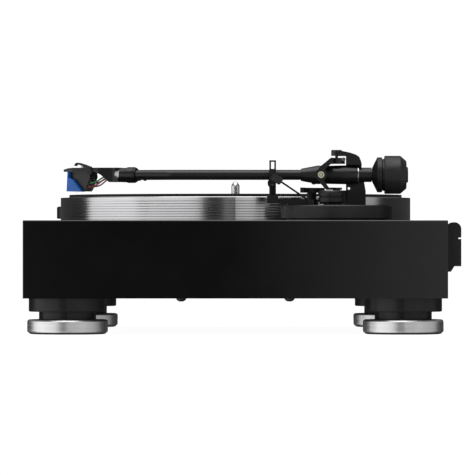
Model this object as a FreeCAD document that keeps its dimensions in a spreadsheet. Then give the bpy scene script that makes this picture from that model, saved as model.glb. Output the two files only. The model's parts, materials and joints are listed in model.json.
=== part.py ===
import FreeCAD, Part
import math
import os
import re

import Sketcher
from FreeCAD import Placement, Rotation, Vector

# A direct-drive record player with a J-shaped tonearm.  The front faces -Y, the tonearm is on
# the +X side, and z = 0 is the surface that the feet stand on.  All sizes are in millimetres.

os.makedirs("parts", exist_ok=True)
doc = FreeCAD.newDocument("record_player")

DIMENSIONS = [
    # plinth
    ("plinth_width", 440), ("plinth_depth", 352), ("plinth_mid_y", -5.75),
    ("plinth_bottom", 30.1), ("plinth_top", 94.9), ("wall", 4), ("deck", 6), ("edge", 0.6),
    ("cover_thick", 3), ("well_radius", 72), ("well_floor", 79), ("well_wall", 5),
    ("recess_radius", 156), ("recess_deep", 2),
    # platter and motor
    ("platter_x", -20), ("platter_radius", 152.5), ("rim_bottom", 93.9), ("rim_top", 115.1),
    ("rim_wall", 6.5), ("lip_radius", 145), ("lip_top", 115.4), ("mat_top", 117.7),
    ("groove_pitch", 2.2), ("groove_deep", 0.06), ("groove_half", 0.3),
    ("spindle_radius", 3.55), ("journal_radius", 4.5), ("spindle_shoulder", 125.8),
    ("spindle_tip", 129.6),
    ("spindle_foot", 60.5), ("play", 0.06), ("gap", 0.35),
    ("magnet_inner", 60), ("magnet_outer", 68), ("magnet_bottom", 86), ("deck_under", 110),
    ("pole_inner", 38), ("pole_outer", 55), ("pole_bottom", 86), ("pole_height", 6),
    # feet
    ("foot_x", 181), ("foot_dy", 140.1), ("housing_radius", 32.35), ("housing_bottom", 18.8),
    ("foot_radius", 33.7), ("foot_top", 12.3), ("neck_radius", 23.85), ("stud_radius", 4),
    ("pad_radius", 32), ("pad_thick", 1.2),
    # speed knob
    ("knob_x", -185), ("knob_y", -152.8), ("knob_radius", 14.5), ("knob_bottom", 97.5),
    ("knob_top", 108.55), ("knob_shaft", 3),
    # tonearm base
    ("arm_x", 163), ("axis_y", 79), ("base_radius", 46.35), ("base_neck", 42),
    ("base_bottom", 96.2), ("base_top", 107.6), ("pillar_radius", 9), ("pillar_top", 120),
    ("bearing_radius", 3), ("tower_inner", 153.5), ("tower_width", 7.5),
    ("tower_front", 87.2), ("tower_rear", 103.7), ("cap_radius", 4.5), ("cap_bottom", 149),
    ("cap_top", 154), ("tip_radius", 1.2),
    # gimbal and arm
    ("pivot_y", 65.7), ("arm_z", 133.1), ("yoke_top", 147.3), ("yoke_bottom", 120.6),
    ("yoke_half", 13), ("cheek_inner", 9.6), ("screw_radius", 2.8), ("screw_body", 2.4),
    ("tube_radius", 4.275), ("tube_bore", 1.9), ("tube_straight", 109.1), ("bend_radius", 27),
    ("head_angle", 23), ("tube_front", 36.1), ("collar_start", 25.1), ("collar_length", 15.2),
    ("collar_radius", 6.2), ("tube_rear", 55.2), ("plug_radius", 3.2),
    ("cone_radius", 7.9), ("body_radius", 7.5), ("stub_radius", 6.1), ("shaft_radius", 5),
    ("shell_half", 8.6), ("shell_top", 6.3), ("shell_under", 2.8), ("cartridge_half", 8),
    ("stylus_half", 6.5), ("mount_spacing", 12.7), ("mount_along", 47.6),
    ("weight_radius", 16), ("dial_radius", 14.65), ("weight_front", 51.75),
    # arm rest, lift and anti-skate
    ("rest_y", 25.4), ("rest_bottom", 109.6), ("rest_bar_top", 112.9), ("rest_foot_top", 116),
    ("rest_top", 128.4), ("post_left", 157), ("post_right", 169), ("clip_x", 171.2),
    ("clip_z", 124), ("clip_top", 145.2), ("clip_width", 5.6), ("rail_radius", 29),
    ("rail_half", 1.5), ("rail_bottom", 118.2), ("rail_top", 122.5), ("plunger_radius", 4),
    ("lever_x", 188), ("lever_y", 57.3), ("lever_z", 110.2), ("lever_tilt", 34),
    ("lever_length", 34.8), ("lever_radius", 0.8), ("skate_x", 190), ("skate_y", 74),
    ("skate_radius", 10.85), ("skate_bottom", 108.8), ("skate_top", 119.9),
    # rear panel and lid hinges
    ("panel_x", -70), ("panel_width", 120), ("panel_bottom", 46), ("panel_height", 30),
    ("panel_thick", 3), ("jack_radius", 4.15), ("jack_shank", 3.2),
    ("jack_length", 9.5), ("hinge_x", 190),
    ("hinge_width", 36), ("ear_width", 4), ("hinge_deep", 11.4), ("hinge_low", 52.2),
    ("hinge_mid", 56.7), ("knuckle_z", 87.6), ("knuckle_y", 5.7), ("knuckle_radius", 5.6),
    ("pin_radius", 1.6), ("pin_cover", 1.2),
]

sheet = doc.addObject("Spreadsheet::Sheet", "dims")
for row, (alias, number) in enumerate(DIMENSIONS, 1):
    sheet.set(f"A{row}", alias)
    sheet.set(f"B{row}", str(number))
    sheet.setAlias(f"B{row}", alias)
doc.recompute()

ALIASES = {alias for alias, number in DIMENSIONS}
PARTS = []


def link(text):
    """An expression with each dimension's name turned into its cell."""
    return re.sub(r"[a-z]\w*", lambda m: "dims." + m[0] if m[0] in ALIASES else m[0], str(text))


def value(text):
    """The number that an expression gives now."""
    result = sheet.evalExpression(link(text))
    return float(getattr(result, "Value", result))


def bind(thing, **sizes):
    for name, text in sizes.items():
        thing.setExpression(name.replace("__", "."), link(text))
    return thing


def place(thing, x=0, y=0, z=0, rotation=None):
    if rotation:
        thing.Placement = Placement(Vector(), rotation)
    return bind(thing, Placement__Base__x=x, Placement__Base__y=y, Placement__Base__z=z)


def sub_part(thing, label):
    thing.Label = label
    PARTS.append(thing)
    return thing


def box(x, y, z, wide, deep, high):
    """A box from its lowest corner."""
    return bind(place(doc.addObject("Part::Box", "block"), x, y, z),
                Length=wide, Width=deep, Height=high)


def block(x0, x1, y0, y1, z0, z1):
    """A box from its limits on each axis."""
    return box(x0, y0, z0, f"({x1}) - ({x0})", f"({y1}) - ({y0})", f"({z1}) - ({z0})")


ALONG_X = Rotation(Vector(0, 1, 0), 90)
ALONG_Y = Rotation(Vector(1, 0, 0), -90)


def rod(radius, length, x, y, z, rotation=None):
    rod_object = place(doc.addObject("Part::Cylinder", "rod"), x, y, z, rotation)
    return bind(rod_object, Radius=radius, Height=length)


def cut(base, *tools):
    for tool in tools:
        result = doc.addObject("Part::Cut", "cut")
        result.Base, result.Tool = base, tool
        base = result
    return base


def fuse(*pieces):
    result = doc.addObject("Part::MultiFuse", "joined")
    result.Shapes = list(pieces)
    return result


def common(base, tool):
    result = doc.addObject("Part::Common", "kept")
    result.Base, result.Tool = base, tool
    return result


def group(pieces):
    result = doc.addObject("Part::Compound", "set")
    result.Links = list(pieces)
    return result


def new_body(name):
    return doc.addObject("PartDesign::Body", name + "_body")


def new_sketch(body, plane):
    sketch = body.newObject("Sketcher::SketchObject", "outline")
    support = next(f for f in body.Origin.OriginFeatures if f.Role == plane)
    sketch.AttachmentSupport = [(support, "")]
    sketch.MapMode = "FlatFace"
    return sketch


def hold_point(sketch, line, end, across, up):
    """Fixes a line's end at two distances from the sketch's origin, bound to the sheet."""
    for kind, text in (("DistanceX", across), ("DistanceY", up)):
        index = sketch.addConstraint(
            Sketcher.Constraint(kind, -1, 1, line, end, value(text)))
        sketch.setExpression(f"Constraints[{index}]", link(text))


def outline(body, plane, points):
    """A closed outline of straight lines in a sketch, every corner bound to the sheet."""
    sketch = new_sketch(body, plane)
    corners = [Vector(value(across), value(up), 0) for across, up in points]
    count = len(corners)
    for i in range(count):
        sketch.addGeometry(Part.LineSegment(corners[i], corners[(i + 1) % count]), False)
    for i in range(count):
        sketch.addConstraint(Sketcher.Constraint("Coincident", i, 2, (i + 1) % count, 1))
    for i, (across, up) in enumerate(points):
        hold_point(sketch, i, 1, across, up)
    return sketch


def revolve(body, sketch, axis):
    turn = body.newObject("PartDesign::Revolution", "turned")
    turn.Profile = sketch
    turn.ReferenceAxis = (sketch, [axis])
    turn.Angle = 360
    return body


def turned(name, points, x, y, z=0):
    """A piece turned about a vertical axis from (radius, height) points."""
    body = new_body(name)
    revolve(body, outline(body, "XZ_Plane", points), "V_Axis")
    return place(body, x, y, z)


def turned_along(name, points, x, y, z):
    """A piece turned about an axis along Y from (distance, radius) points."""
    body = new_body(name)
    revolve(body, outline(body, "YZ_Plane", points), "H_Axis")
    return place(body, x, y, z)


def slab(name, points, thick, x, y, z, plane="YZ_Plane"):
    """An outline padded square to its plane: along X from the YZ plane, up from XY."""
    body = new_body(name)
    pad = body.newObject("PartDesign::Pad", "slab")
    pad.Profile = outline(body, plane, points)
    bind(pad, Length=thick)
    return place(body, x, y, z)


def in_head(thing):
    """Turns a piece drawn along -Y into line with the front of the bent arm tube."""
    thing.Placement = Placement(thing.Placement.Base, Rotation(Vector(0, 0, -1), value("head_angle")))
    thing.setExpression("Placement.Rotation.Angle", link("head_angle"))
    x, y, z = HEAD
    return bind(thing, Placement__Base__x=x, Placement__Base__y=y, Placement__Base__z=z)


# The front end of the arm tube, where the headshell's own frame starts.
HEAD = (
    "arm_x - bend_radius * (1 - cos(head_angle * 1deg)) - collar_start * sin(head_angle * 1deg)",
    "tube_rear - tube_straight - bend_radius * sin(head_angle * 1deg)"
    " - collar_start * cos(head_angle * 1deg)",
    "arm_z",
)
REAR = "plinth_mid_y + plinth_depth / 2"
FEET = {"fl": (-1, -1), "fr": (1, -1), "rl": (-1, 1), "rr": (1, 1)}


def spot(signs, dx, dy):
    """A place on the plinth, mirrored left and right, front and rear by a pair of signs."""
    return f"{signs[0]} * ({dx})", f"plinth_mid_y + {signs[1]} * ({dy})"


# ---------------------------------------------------------------- plinth

def plinth_shell():
    half_x, half_y = "plinth_width / 2", "plinth_depth / 2"
    body = new_body("plinth")
    pad = body.newObject("PartDesign::Pad", "slab")
    pad.Profile = outline(body, "XY_Plane", [
        (f"-{half_x}", f"-{half_y}"), (half_x, f"-{half_y}"), (half_x, half_y),
        (f"-{half_x}", half_y)])
    bind(pad, Length="plinth_top - plinth_bottom")
    place(body, 0, "plinth_mid_y", "plinth_bottom")
    doc.recompute()
    chamfer = body.newObject("PartDesign::Chamfer", "eased_edges")
    names = [f"Edge{i}" for i, edge in enumerate(pad.Shape.Edges, 1)
             if edge.BoundBox.ZMax > value("plinth_top - plinth_bottom") - 0.01]
    chamfer.Base = (pad, names)
    bind(chamfer, Size="edge")
    hollow = block("-plinth_width / 2 + wall", "plinth_width / 2 - wall",
                   "plinth_mid_y - plinth_depth / 2 + wall",
                   "plinth_mid_y + plinth_depth / 2 - wall",
                   "plinth_bottom", "plinth_top - deck")
    cup = rod("well_radius + well_wall", "plinth_top - deck - well_floor + well_wall",
              "platter_x", "plinth_mid_y", "well_floor - well_wall")
    inside = cut(hollow, cup)
    recess = rod("recess_radius", 5, "platter_x", "plinth_mid_y", "plinth_top - recess_deep")
    well = rod("well_radius", 30, "platter_x", "plinth_mid_y", "well_floor")
    bearing_hole = rod(14, 20, "platter_x", "plinth_mid_y", "well_floor - 10")
    arm_hole = rod(20, 20, "arm_x", "axis_y", "plinth_top - 10")
    knob_hole = rod("knob_shaft + play", 20, "knob_x", "knob_y", "plinth_top - 10")
    panel_hole = block("panel_x - panel_width / 2", "panel_x + panel_width / 2",
                       REAR + " - 10", REAR + " + 5", "panel_bottom",
                       "panel_bottom + panel_height")
    shell = cut(body, inside, recess, well, bearing_hole, arm_hole, knob_hole, panel_hole)
    return sub_part(shell, "plinth_shell")


def bottom_cover():
    plate = block("-plinth_width / 2 + wall", "plinth_width / 2 - wall",
                  "plinth_mid_y - plinth_depth / 2 + wall",
                  "plinth_mid_y + plinth_depth / 2 - wall",
                  "plinth_bottom", "plinth_bottom + cover_thick")
    holes = []
    for x, y in SCREW_PLACES:
        holes.append(rod(1.8, 10, x, y, "plinth_bottom - 1"))
    for signs in FEET.values():
        x, y = spot(signs, "foot_x", "foot_dy")
        holes.append(rod("stud_radius + 1", 10, x, y, "plinth_bottom - 1"))
    return sub_part(cut(plate, *holes), "bottom_cover")


SCREW_PLACES = [spot(signs, dx, dy) for signs in FEET.values()
                for dx, dy in ((198, 45), (60, "foot_dy"))]


def bottom_screws():
    head = [(0, 1.6), (1.3, 1.2), (1.3, 0), (2.2, 0.2), (3.3, 0.9), (4, 1.8), (4.3, 2.7),
            (1.8, 2.7), (1.8, 10.7), (0, 10.7)]
    screws = [turned("screw", head, x, y, "plinth_bottom - 2.7") for x, y in SCREW_PLACES]
    return sub_part(group(screws), "bottom_screws")


def foot_housings():
    """A cup under each corner, stepped down to a narrower neck that the foot's stud enters."""
    wall = [("stud_radius + play", "foot_top + gap"), ("neck_radius", "foot_top + gap"),
            ("neck_radius", "housing_bottom"), ("housing_radius - 0.8", "housing_bottom"),
            ("housing_radius", "housing_bottom + 0.8"), ("housing_radius", "plinth_bottom"),
            ("stud_radius + play", "plinth_bottom")]
    cups = [turned("foot_cup", wall, *spot(signs, "foot_x", "foot_dy"))
            for signs in FEET.values()]
    return sub_part(group(cups), "foot_housings")


def feet():
    """Each foot is a metal disc on a threaded stud, with a rubber pad under it."""
    metal = [(0, "pad_thick"), ("foot_radius - 1.4", "pad_thick"),
             ("foot_radius - 0.4", "pad_thick + 0.6"), ("foot_radius", "pad_thick + 1.5"),
             ("foot_radius", "foot_top - 1.6"), ("foot_radius - 0.5", "foot_top - 0.6"),
             ("foot_radius - 1.6", "foot_top"), ("stud_radius", "foot_top"),
             ("stud_radius", "plinth_bottom - 1.2"), (0, "plinth_bottom - 1.2")]
    rubber = [(0, 0), ("pad_radius - 2", 0), ("pad_radius", 0.5), ("pad_radius", "pad_thick"),
              (0, "pad_thick")]
    for corner, signs in FEET.items():
        x, y = spot(signs, "foot_x", "foot_dy")
        sub_part(turned("foot", metal, x, y), "foot_" + corner)
        sub_part(turned("pad", rubber, x, y), "foot_pad_" + corner)


# ---------------------------------------------------------------- platter and motor

def platter():
    """A cast platter: a deck, a hub, a deep rim with fine turned grooves, and a raised lip."""
    edge_out = "platter_radius"
    profile = [("journal_radius", 100), (16, 100), (16, "deck_under"),
               ("platter_radius - rim_wall", "deck_under"),
               ("platter_radius - rim_wall", "rim_bottom"),
               (edge_out + " - 0.6", "rim_bottom"), (edge_out, "rim_bottom + 0.6")]
    grooves = int((value("rim_top") - value("rim_bottom") - 2) / value("groove_pitch"))
    for i in range(grooves):
        middle = f"rim_bottom + {i + 1} * groove_pitch"
        profile += [(edge_out, middle + " - groove_half"),
                    (edge_out + " - groove_deep", middle),
                    (edge_out, middle + " + groove_half")]
    profile += [(edge_out, "rim_top - 0.3"), (edge_out + " - 0.3", "rim_top"),
                ("lip_radius", "rim_top"), ("lip_radius", "lip_top"),
                ("journal_radius", "lip_top")]
    return sub_part(turned("platter", profile, "platter_x", "plinth_mid_y"), "platter")


def platter_mat():
    mat = [("journal_radius + 0.4", "lip_top"), ("lip_radius", "lip_top"),
           ("lip_radius", "mat_top - 0.4"), ("lip_radius - 0.4", "mat_top"),
           (51, "mat_top"), (50, "mat_top - 0.5"), ("journal_radius + 0.4", "mat_top - 0.5")]
    return sub_part(turned("mat", mat, "platter_x", "plinth_mid_y"), "platter_mat")


def spindle():
    shaft = [(0, "spindle_foot"), ("journal_radius - 1", "spindle_foot"),
             ("journal_radius", "spindle_foot + 1"), ("journal_radius", "mat_top - 0.5"),
             ("spindle_radius", "mat_top - 0.5"), ("spindle_radius", "spindle_shoulder"),
             ("spindle_radius * 0.86", "spindle_shoulder + 1.2"),
             ("spindle_radius * 0.5", "spindle_tip - 0.9"),
             ("spindle_radius * 0.2", "spindle_tip - 0.15"), (0, "spindle_tip")]
    return sub_part(turned("spindle", shaft, "platter_x", "plinth_mid_y"), "spindle")


def rotor_magnet():
    ring = [("magnet_inner", "magnet_bottom"), ("magnet_outer", "magnet_bottom"),
            ("magnet_outer", "deck_under"), ("magnet_inner", "deck_under")]
    return sub_part(turned("magnet", ring, "platter_x", "plinth_mid_y"), "rotor_magnet")


def bearing_housing():
    bore = "journal_radius + play"
    case = [(0, "spindle_foot - 2.5"), (11, "spindle_foot - 2.5"), (13.5, "spindle_foot"),
            (13.5, "well_floor"), (20, "well_floor"), (20, "well_floor + 3"),
            (10, "well_floor + 3"), (10, "well_floor + 17"), (bore, "well_floor + 17"),
            (bore, "spindle_foot - 0.5"), (0, "spindle_foot - 0.5")]
    return sub_part(turned("bearing", case, "platter_x", "plinth_mid_y"), "bearing_housing")


def pole(step, wide, low, high, inner, outer):
    """A block reaching outward from the motor's axis, at one of its twelve steps."""
    piece = doc.addObject("Part::Box", "pole")
    bind(piece, Length=f"({outer}) - ({inner})", Width=wide, Height=f"({high}) - ({low})")
    angle = step * 30
    piece.Placement = Placement(Vector(), Rotation(Vector(0, 0, 1), angle))
    along, side = f"cos({angle}deg)", f"sin({angle}deg)"
    return bind(piece,
                Placement__Base__x=f"platter_x + ({inner}) * {along} + ({wide}) / 2 * {side}",
                Placement__Base__y=f"plinth_mid_y + ({inner}) * {side} - ({wide}) / 2 * {along}",
                Placement__Base__z=low)


def motor():
    """The motor's iron: a ring on a foot with twelve poles, and a coil around each pole."""
    iron = [(21, "well_floor"), (30, "well_floor"), (30, "pole_bottom"),
            ("pole_inner + 1", "pole_bottom"), ("pole_inner + 1", "pole_bottom + pole_height"),
            (21, "pole_bottom + pole_height")]
    ring = turned("iron", iron, "platter_x", "plinth_mid_y")
    top = "pole_bottom + pole_height"
    poles = [pole(i, 7, "pole_bottom", top, "pole_inner", "pole_outer") for i in range(12)]
    sub_part(fuse(ring, *poles), "motor_stator")
    coils = []
    for i in range(12):
        winding = pole(i, 13, "pole_bottom - 2.5", top + " + 2.5", "pole_inner + 3",
                       "pole_outer - 3")
        core = pole(i, 7, "pole_bottom", top, "pole_inner", "pole_outer")
        coils.append(cut(winding, core))
    sub_part(group(coils), "motor_coils")


# ---------------------------------------------------------------- electronics and rear panel

def circuit_boards():
    """The motor control board and the phono stage, with their larger components."""
    low = "plinth_bottom + cover_thick"
    pieces = []
    for x, y, wide, deep in ((-170, -120, 110, 70), (-150, 105, 90, 48)):
        board = box(x, y, low + " + 5", wide, deep, 1.6)
        posts = [rod(3, 5, x + dx, y + dy, low)
                 for dx in (6, wide - 6) for dy in (6, deep - 6)]
        parts = [rod(5, 14, x + 20 + 16 * i, y + deep / 2, low + " + 6.6") for i in range(3)]
        chips = [box(x + 20 + 26 * i, y + 8, low + " + 6.6", 16, 8, 2.5) for i in range(2)]
        pieces.append(fuse(board, *posts, *parts, *chips))
    return sub_part(group(pieces), "circuit_boards")


def jack_panel():
    plate = block("panel_x - panel_width / 2", "panel_x + panel_width / 2",
                  REAR + " - panel_thick", REAR, "panel_bottom", "panel_bottom + panel_height")
    middle = "panel_bottom + panel_height / 2"
    inlet = block("panel_x + 36", "panel_x + 48", REAR + " - 5", REAR + " + 1",
                  middle + " - 5", middle + " + 5")
    slot = block("panel_x + 10", "panel_x + 18", REAR + " - 5", REAR + " + 1",
                 middle + " - 2", middle + " + 2")
    jacks = [rod("jack_shank", 8, f"panel_x - {dx}", REAR + " - 4", middle, ALONG_Y) for dx in (48, 30)]
    post = rod(2, 8, "panel_x - 10", REAR + " - 4", middle, ALONG_Y)
    return sub_part(cut(plate, inlet, slot, post, *jacks), "jack_panel")


def phono_jacks():
    """Two cinch sockets: a metal barrel each, with a blind hole for the plug's pin."""
    middle = "panel_bottom + panel_height / 2"
    barrel = [("-6", 0), ("-6", "jack_shank"), (0, "jack_shank"), (0, "jack_radius"),
              ("jack_length", "jack_radius"),
              ("jack_length", 1.7), ("-3", 1.7), ("-3", 0)]
    jacks = [turned_along("jack", barrel, f"panel_x - {dx}", REAR, middle) for dx in (48, 30)]
    return sub_part(group(jacks), "phono_jacks")


def power_inlet():
    middle = "panel_bottom + panel_height / 2"
    case = block("panel_x + 36", "panel_x + 48", REAR + " - 14", REAR,
                 middle + " - 5", middle + " + 5")
    hole = rod(2.9, 12, "panel_x + 42", REAR + " - 11", middle, ALONG_Y)
    pin = rod(1, 10, "panel_x + 42", REAR + " - 11", middle, ALONG_Y)
    return sub_part(fuse(cut(case, hole), pin), "power_inlet")


def preamp_switch():
    """A slide switch: the slider's tab stands in the panel's slot and moves sideways."""
    middle = "panel_bottom + panel_height / 2"
    tab = block("panel_x + 11.5", "panel_x + 14.5", REAR + " - 4.5", REAR + " + 1.2",
                middle + " - 1.6", middle + " + 1.6")
    return sub_part(tab, "preamp_switch")


def ground_terminal():
    middle = "panel_bottom + panel_height / 2"
    sub_part(rod(2, "6 + jack_length", "panel_x - 10", REAR + " - 6", middle, ALONG_Y),
             "ground_post")
    nut = [(2, "2 + play"), (2, 4.6), (2.6, 5.2), (6.6, 5.2), (7.2, 4.6), (7.2, "2 + play")]
    sub_part(turned_along("nut", nut, "panel_x - 10", REAR, middle), "ground_nut")


def hinges():
    """Two lid hinges: a bracket with two ears, a pin, and a knuckle that takes the lid."""
    brackets, pins = [], []
    for side, sign in (("left", -1), ("right", 1)):
        left = f"{sign} * hinge_x - hinge_width / 2"
        foot = slab("bracket", [(0, "hinge_low"), (2.8, "hinge_low"), (5.7, "hinge_mid"),
                                ("hinge_deep", "hinge_mid"), ("hinge_deep", 78.5), (0, 78.5)],
                    "hinge_width", left, REAR, 0)
        pieces = [foot]
        for start in (left, left + " + hinge_width - ear_width"):
            cheek = box(start, REAR, 78, "ear_width", "hinge_deep", "knuckle_z - 78")
            dome = rod("hinge_deep / 2", "ear_width", start, REAR + " + knuckle_y",
                       "knuckle_z", ALONG_X)
            pieces.append(fuse(cheek, dome))
        seat = rod("pin_radius", "hinge_width - 2 * pin_cover", left + " + pin_cover",
                   REAR + " + knuckle_y", "knuckle_z", ALONG_X)
        notch = box(left, REAR + " + 9", 79.4, "hinge_width", 5, 1.1)
        brackets.append(cut(fuse(*pieces), seat, notch))
        pins.append(rod("pin_radius", "hinge_width - 2 * pin_cover", left + " + pin_cover",
                        REAR + " + knuckle_y", "knuckle_z", ALONG_X))
        inner = left + " + ear_width + gap"
        length = "hinge_width - 2 * ear_width - 2 * gap"
        barrel = rod("knuckle_radius", length, inner, REAR + " + knuckle_y", "knuckle_z",
                     ALONG_X)
        bore = rod("pin_radius + play", "hinge_width", left, REAR + " + knuckle_y",
                   "knuckle_z", ALONG_X)
        slot = box(left, REAR + " + knuckle_y - 1.6", "knuckle_z + 2.6", "hinge_width", 3.2, 9)
        sub_part(cut(barrel, bore, slot), "hinge_knuckle_" + side)
    sub_part(group(brackets), "hinge_brackets")
    sub_part(group(pins), "hinge_pins")


# ---------------------------------------------------------------- knobs

def speed_knob():
    knob = [(0, "plinth_top - 12"), ("knob_shaft", "plinth_top - 12"),
            ("knob_shaft", "plinth_top + gap"), (11, "plinth_top + gap"),
            (11, "knob_bottom"), ("knob_radius - 0.8", "knob_bottom"),
            ("knob_radius", "knob_bottom + 0.8"), ("knob_radius", "knob_top - 1.2"),
            ("knob_radius - 0.4", "knob_top - 0.4"), ("knob_radius - 1.2", "knob_top"),
            (0, "knob_top")]
    mark = box("knob_x - 0.6", "knob_y + 4", "knob_top - 0.4", 1.2, 8, 1)
    return sub_part(cut(turned("knob", knob, "knob_x", "knob_y"), mark), "speed_knob")


def antiskate_knob():
    """A two-tier dial with a waist, on a short shaft."""
    outer = "skate_radius"
    knob = [(0, "base_top - 4"), (2, "base_top - 4"), (2, "skate_bottom"),
            (outer + " - 1.5", "skate_bottom"), (outer + " - 1.2", "skate_bottom + 0.8"),
            (outer, "skate_bottom + 1.4"), (outer, "skate_bottom + 4.8"),
            (outer + " - 0.8", "skate_bottom + 5.3"), (outer + " - 0.8", "skate_bottom + 6"),
            (outer, "skate_bottom + 6.5"), (outer, "skate_top - 1.9"),
            (outer + " - 0.4", "skate_top - 1"),
            (outer + " - 1.6", "skate_top"), (0, "skate_top")]
    return sub_part(turned("skate", knob, "skate_x", "skate_y"), "antiskate_knob")


# ---------------------------------------------------------------- tonearm base

def arm_base():
    """A round base with a stem through the deck, and two lugs that carry the cue lever."""
    disc = [(0, "plinth_top - 12"), (20, "plinth_top - 12"), (20, "plinth_top"),
            ("base_neck", "plinth_top"), ("base_neck", "base_bottom"),
            ("base_radius - 0.5", "base_bottom"), ("base_radius", "base_bottom + 0.5"),
            ("base_radius", "base_top - 0.8"), ("base_radius - 0.8", "base_top"),
            (0, "base_top")]
    base = cut(turned("base", disc, "arm_x", "axis_y"),
               rod("2 + play", 20, "skate_x", "skate_y", "base_top - 5"))
    lugs = []
    for left in ("lever_x - 4.6", "lever_x + 2.4"):
        lug = block(left, left + " + 2.2", "lever_y - 2.4", "lever_y + 2.4", "base_top",
                    "lever_z + 1.8")
        hole = rod("1 + play", 6, left + " - 1", "lever_y", "lever_z", ALONG_X)
        lugs.append(cut(lug, hole))
    return sub_part(fuse(base, *lugs), "arm_base")


def arm_pillar():
    """The lower vertical bearing's case."""
    case = [(0, "base_top"), ("pillar_radius + 2", "base_top"),
            ("pillar_radius + 2", "base_top + 1.5"), ("pillar_radius", "base_top + 3"),
            ("pillar_radius", "pillar_top"), ("bearing_radius + play", "pillar_top"),
            ("bearing_radius + play", "pillar_top - 10"), (0, "pillar_top - 10")]
    return sub_part(turned("pillar", case, "arm_x", "axis_y"), "arm_pillar")


def bearing_tower():
    """A tower beside the arm and an arch over it, which holds the upper vertical bearing."""
    left = "tower_inner - tower_width"
    tower = slab("tower", [("tower_front - axis_y", "base_top"),
                           ("tower_front - axis_y", "arm_z + 8.4"),
                           (21.2, "arm_z + 8.4"), (21.2, "arm_z + 6.6"),
                           ("tower_rear - axis_y", "base_top + 12"),
                           ("tower_rear - axis_y", "base_top")],
                 "tower_width", left, "axis_y", 0)
    arch = slab("arch", [(0, "cap_bottom"), (8.2, "cap_bottom"), (8.2, "arm_z + 8.4"),
                         (21.2, "arm_z + 8.4"), (20.4, "arm_z + 11.6"), (18.9, 148.2),
                         (16.2, 150), (12, 151.5), (8, 152.4), (4, 153.2), (0, 153.2)],
                "arm_x + 5.5 - tower_inner + tower_width", left, "axis_y", 0)
    foot = block(left, "tower_inner", "tower_front - 3", "tower_rear", "base_top",
                 "base_top + 3")
    window = rod(1.1, 30, left + " - 5", "axis_y + 10.6", "arm_z - 11.3", ALONG_X)
    hole = rod("cap_radius", 20, "arm_x", "axis_y", "cap_bottom - 5")
    return sub_part(cut(fuse(tower, arch, foot), window, hole), "bearing_tower")


def top_bearing():
    """The upper bearing's adjusting screw: a cap with a driver slot and a fine tip."""
    screw = [(0, "yoke_top - 1.3"), ("tip_radius", "yoke_top - 0.7"),
             ("tip_radius", "cap_bottom"), ("cap_radius", "cap_bottom"),
             ("cap_radius", "cap_top - 0.5"), ("cap_radius - 0.5", "cap_top"), (0, "cap_top")]
    slot = box("arm_x - 3", "axis_y - 0.5", "cap_top - 1", 6, 1, 2)
    return sub_part(cut(turned("bearing_screw", screw, "arm_x", "axis_y"), slot),
                    "top_bearing")


def arm_rest():
    """A bar from the base, a foot block and a post, with two ears for the clip."""
    low, high = "rest_y - 2.8", "rest_y + 2.8"
    bar = block("arm_x - 5", "arm_x + 5", "rest_y - 2", "axis_y - 20", "rest_bottom",
                "rest_bar_top")
    saddle = block("arm_x - 5", "arm_x + 5", "axis_y - 41", "axis_y - 20", "base_top",
                   "rest_bottom")
    foot = block("post_left - 1.5", "post_right + 3.8", "rest_y - 4.6", "rest_y + 4.6",
                 "rest_bottom", "rest_foot_top")
    post = block("post_left", "post_right", low, high, "rest_foot_top", "rest_top")
    ears = []
    for y in ("rest_y - 2.8", "rest_y + 1.6"):
        ear = block("post_right - 1", "clip_x + 2", y, y + " + 1.2", "rest_foot_top",
                    "clip_z + 2")
        ears.append(cut(ear, rod("0.8 + play", 4, "clip_x", y + " - 1", "clip_z", ALONG_Y)))
    return sub_part(fuse(bar, saddle, foot, post, *ears), "arm_rest")


def arm_clip():
    """A hinged clip: a tab with a window, and a lip that reaches over the tube."""
    barrel = rod(1.6, 2.4, "clip_x", "rest_y - 1.2", "clip_z", ALONG_Y)
    axle = rod(0.8, 5.4, "clip_x", "rest_y - 2.7", "clip_z", ALONG_Y)
    stem = block("clip_x - 1.2", "clip_x + 1.2", "rest_y - 1.2", "rest_y + 1.2", "clip_z",
                 "clip_z + 4")
    tab = block("clip_x - 1.2", "clip_x + 1.2", "rest_y - clip_width / 2",
                "rest_y + clip_width / 2", "clip_z + 3.6", "clip_top")
    lip = block("arm_x - 4", "clip_x", "rest_y - clip_width / 2", "rest_y + clip_width / 2",
                "clip_top - 1.2", "clip_top")
    window = block("clip_x - 3", "clip_x + 3", "rest_y - 1.35", "rest_y + 1.35",
                   "clip_top - 7.2", "clip_top - 1.3")
    return sub_part(cut(fuse(barrel, axle, stem, tab, lip), window), "arm_clip")


# ---------------------------------------------------------------- arm lift

LIFT_X = "arm_x - rail_radius * cos(45deg)"
LIFT_Y = "axis_y - rail_radius * sin(45deg)"


def lift_housing():
    case = [(0, "base_top"), (5.6, "base_top"), (5.6, "base_top + 5"),
            ("plunger_radius + play", "base_top + 5"),
            ("plunger_radius + play", "base_top + 0.4"), (0, "base_top + 0.4")]
    return sub_part(turned("lift_case", case, LIFT_X, LIFT_Y), "lift_housing")


def lift_rail():
    """A curved rail about the arm's vertical axis, on a plunger."""
    height = "rail_top - rail_bottom"
    outer = rod("rail_radius + rail_half", height, "arm_x", "axis_y", "rail_bottom",
                Rotation(Vector(0, 0, 1), 200))
    outer.Angle = 75
    inner = rod("rail_radius - rail_half", "rail_top - rail_bottom + 2", "arm_x", "axis_y",
                "rail_bottom - 1")
    plunger = rod("plunger_radius", "rail_bottom - base_top - 4.8", LIFT_X, LIFT_Y,
                  "base_top + 4.8")
    return sub_part(fuse(cut(outer, inner), plunger), "lift_rail")


def lever_rotation():
    return Rotation(Vector(1, 0, 0), 90 - value("lever_tilt"))


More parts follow.
